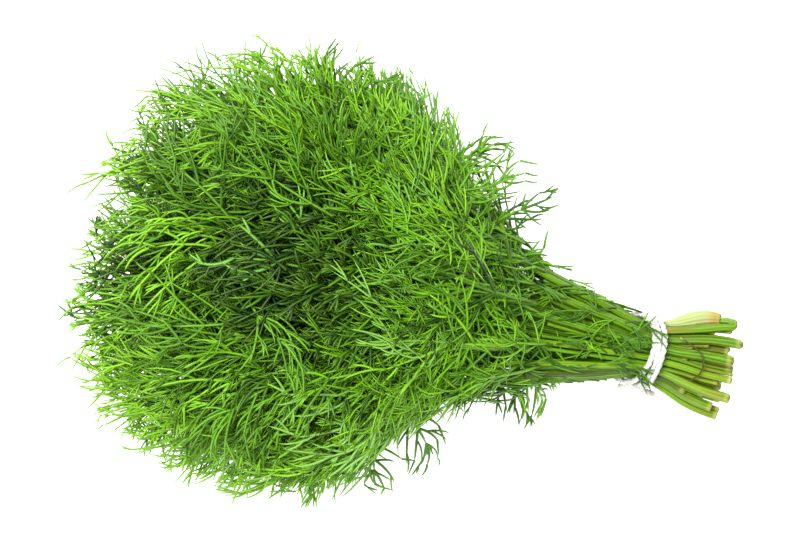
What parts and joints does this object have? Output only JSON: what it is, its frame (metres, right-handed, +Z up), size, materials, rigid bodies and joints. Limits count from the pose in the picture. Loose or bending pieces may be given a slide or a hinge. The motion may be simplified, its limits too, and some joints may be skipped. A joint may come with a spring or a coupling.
{
  "type": "dill bunch",
  "caption": "Bunch of fresh dill lying on its side: cut stems tied with string, fanning into a broad, feathery, flattened crown of thread-like leaves.",
  "frame": {"origin": "middle of the bunch's footprint, on the surface that it lies on", "axes": "+X along the stems towards the cut ends, so the leafy crown is towards -X; +Z up from the surface; +Y across the bunch"},
  "size_m": [0.245, 0.163, 0.0723],
  "materials": {
    "stem": "satin fresh green, ribbed, paler towards the cut ends",
    "leaf": "satin leaf green, yellower at the young tips",
    "string": "off-white twisted cotton"
  },
  "bodies": {
    "root": {"tie_string": "string", "stem_01": "stem", "fronds_01": "leaf", "stem_02": "stem", "fronds_02": "leaf", "stem_03": "stem", "fronds_03": "leaf", "stem_04": "stem", "fronds_04": "leaf", "stem_05": "stem", "fronds_05": "leaf", "stem_06": "stem", "fronds_06": "leaf", "stem_07": "stem", "fronds_07": "leaf", "stem_08": "stem", "fronds_08": "leaf", "stem_09": "stem", "fronds_09": "leaf", "stem_10": "stem", "fronds_10": "leaf", "stem_11": "stem", "fronds_11": "leaf", "stem_12": "stem", "fronds_12": "leaf", "stem_13": "stem", "fronds_13": "leaf", "stem_14": "stem", "fronds_14": "leaf", "stem_15": "stem", "fronds_15": "leaf", "stem_16": "stem", "fronds_16": "leaf", "stem_17": "stem", "fronds_17": "leaf", "stem_18": "stem", "fronds_18": "leaf", "stem_19": "stem", "fronds_19": "leaf", "stem_20": "stem", "fronds_20": "leaf", "stem_21": "stem", "fronds_21": "leaf", "stem_22": "stem", "fronds_22": "leaf", "stem_23": "stem", "fronds_23": "leaf", "stem_24": "stem", "fronds_24": "leaf", "stem_25": "stem", "fronds_25": "leaf", "stem_26": "stem", "fronds_26": "leaf", "stem_27": "stem", "fronds_27": "leaf"}
  },
  "joints": []
}
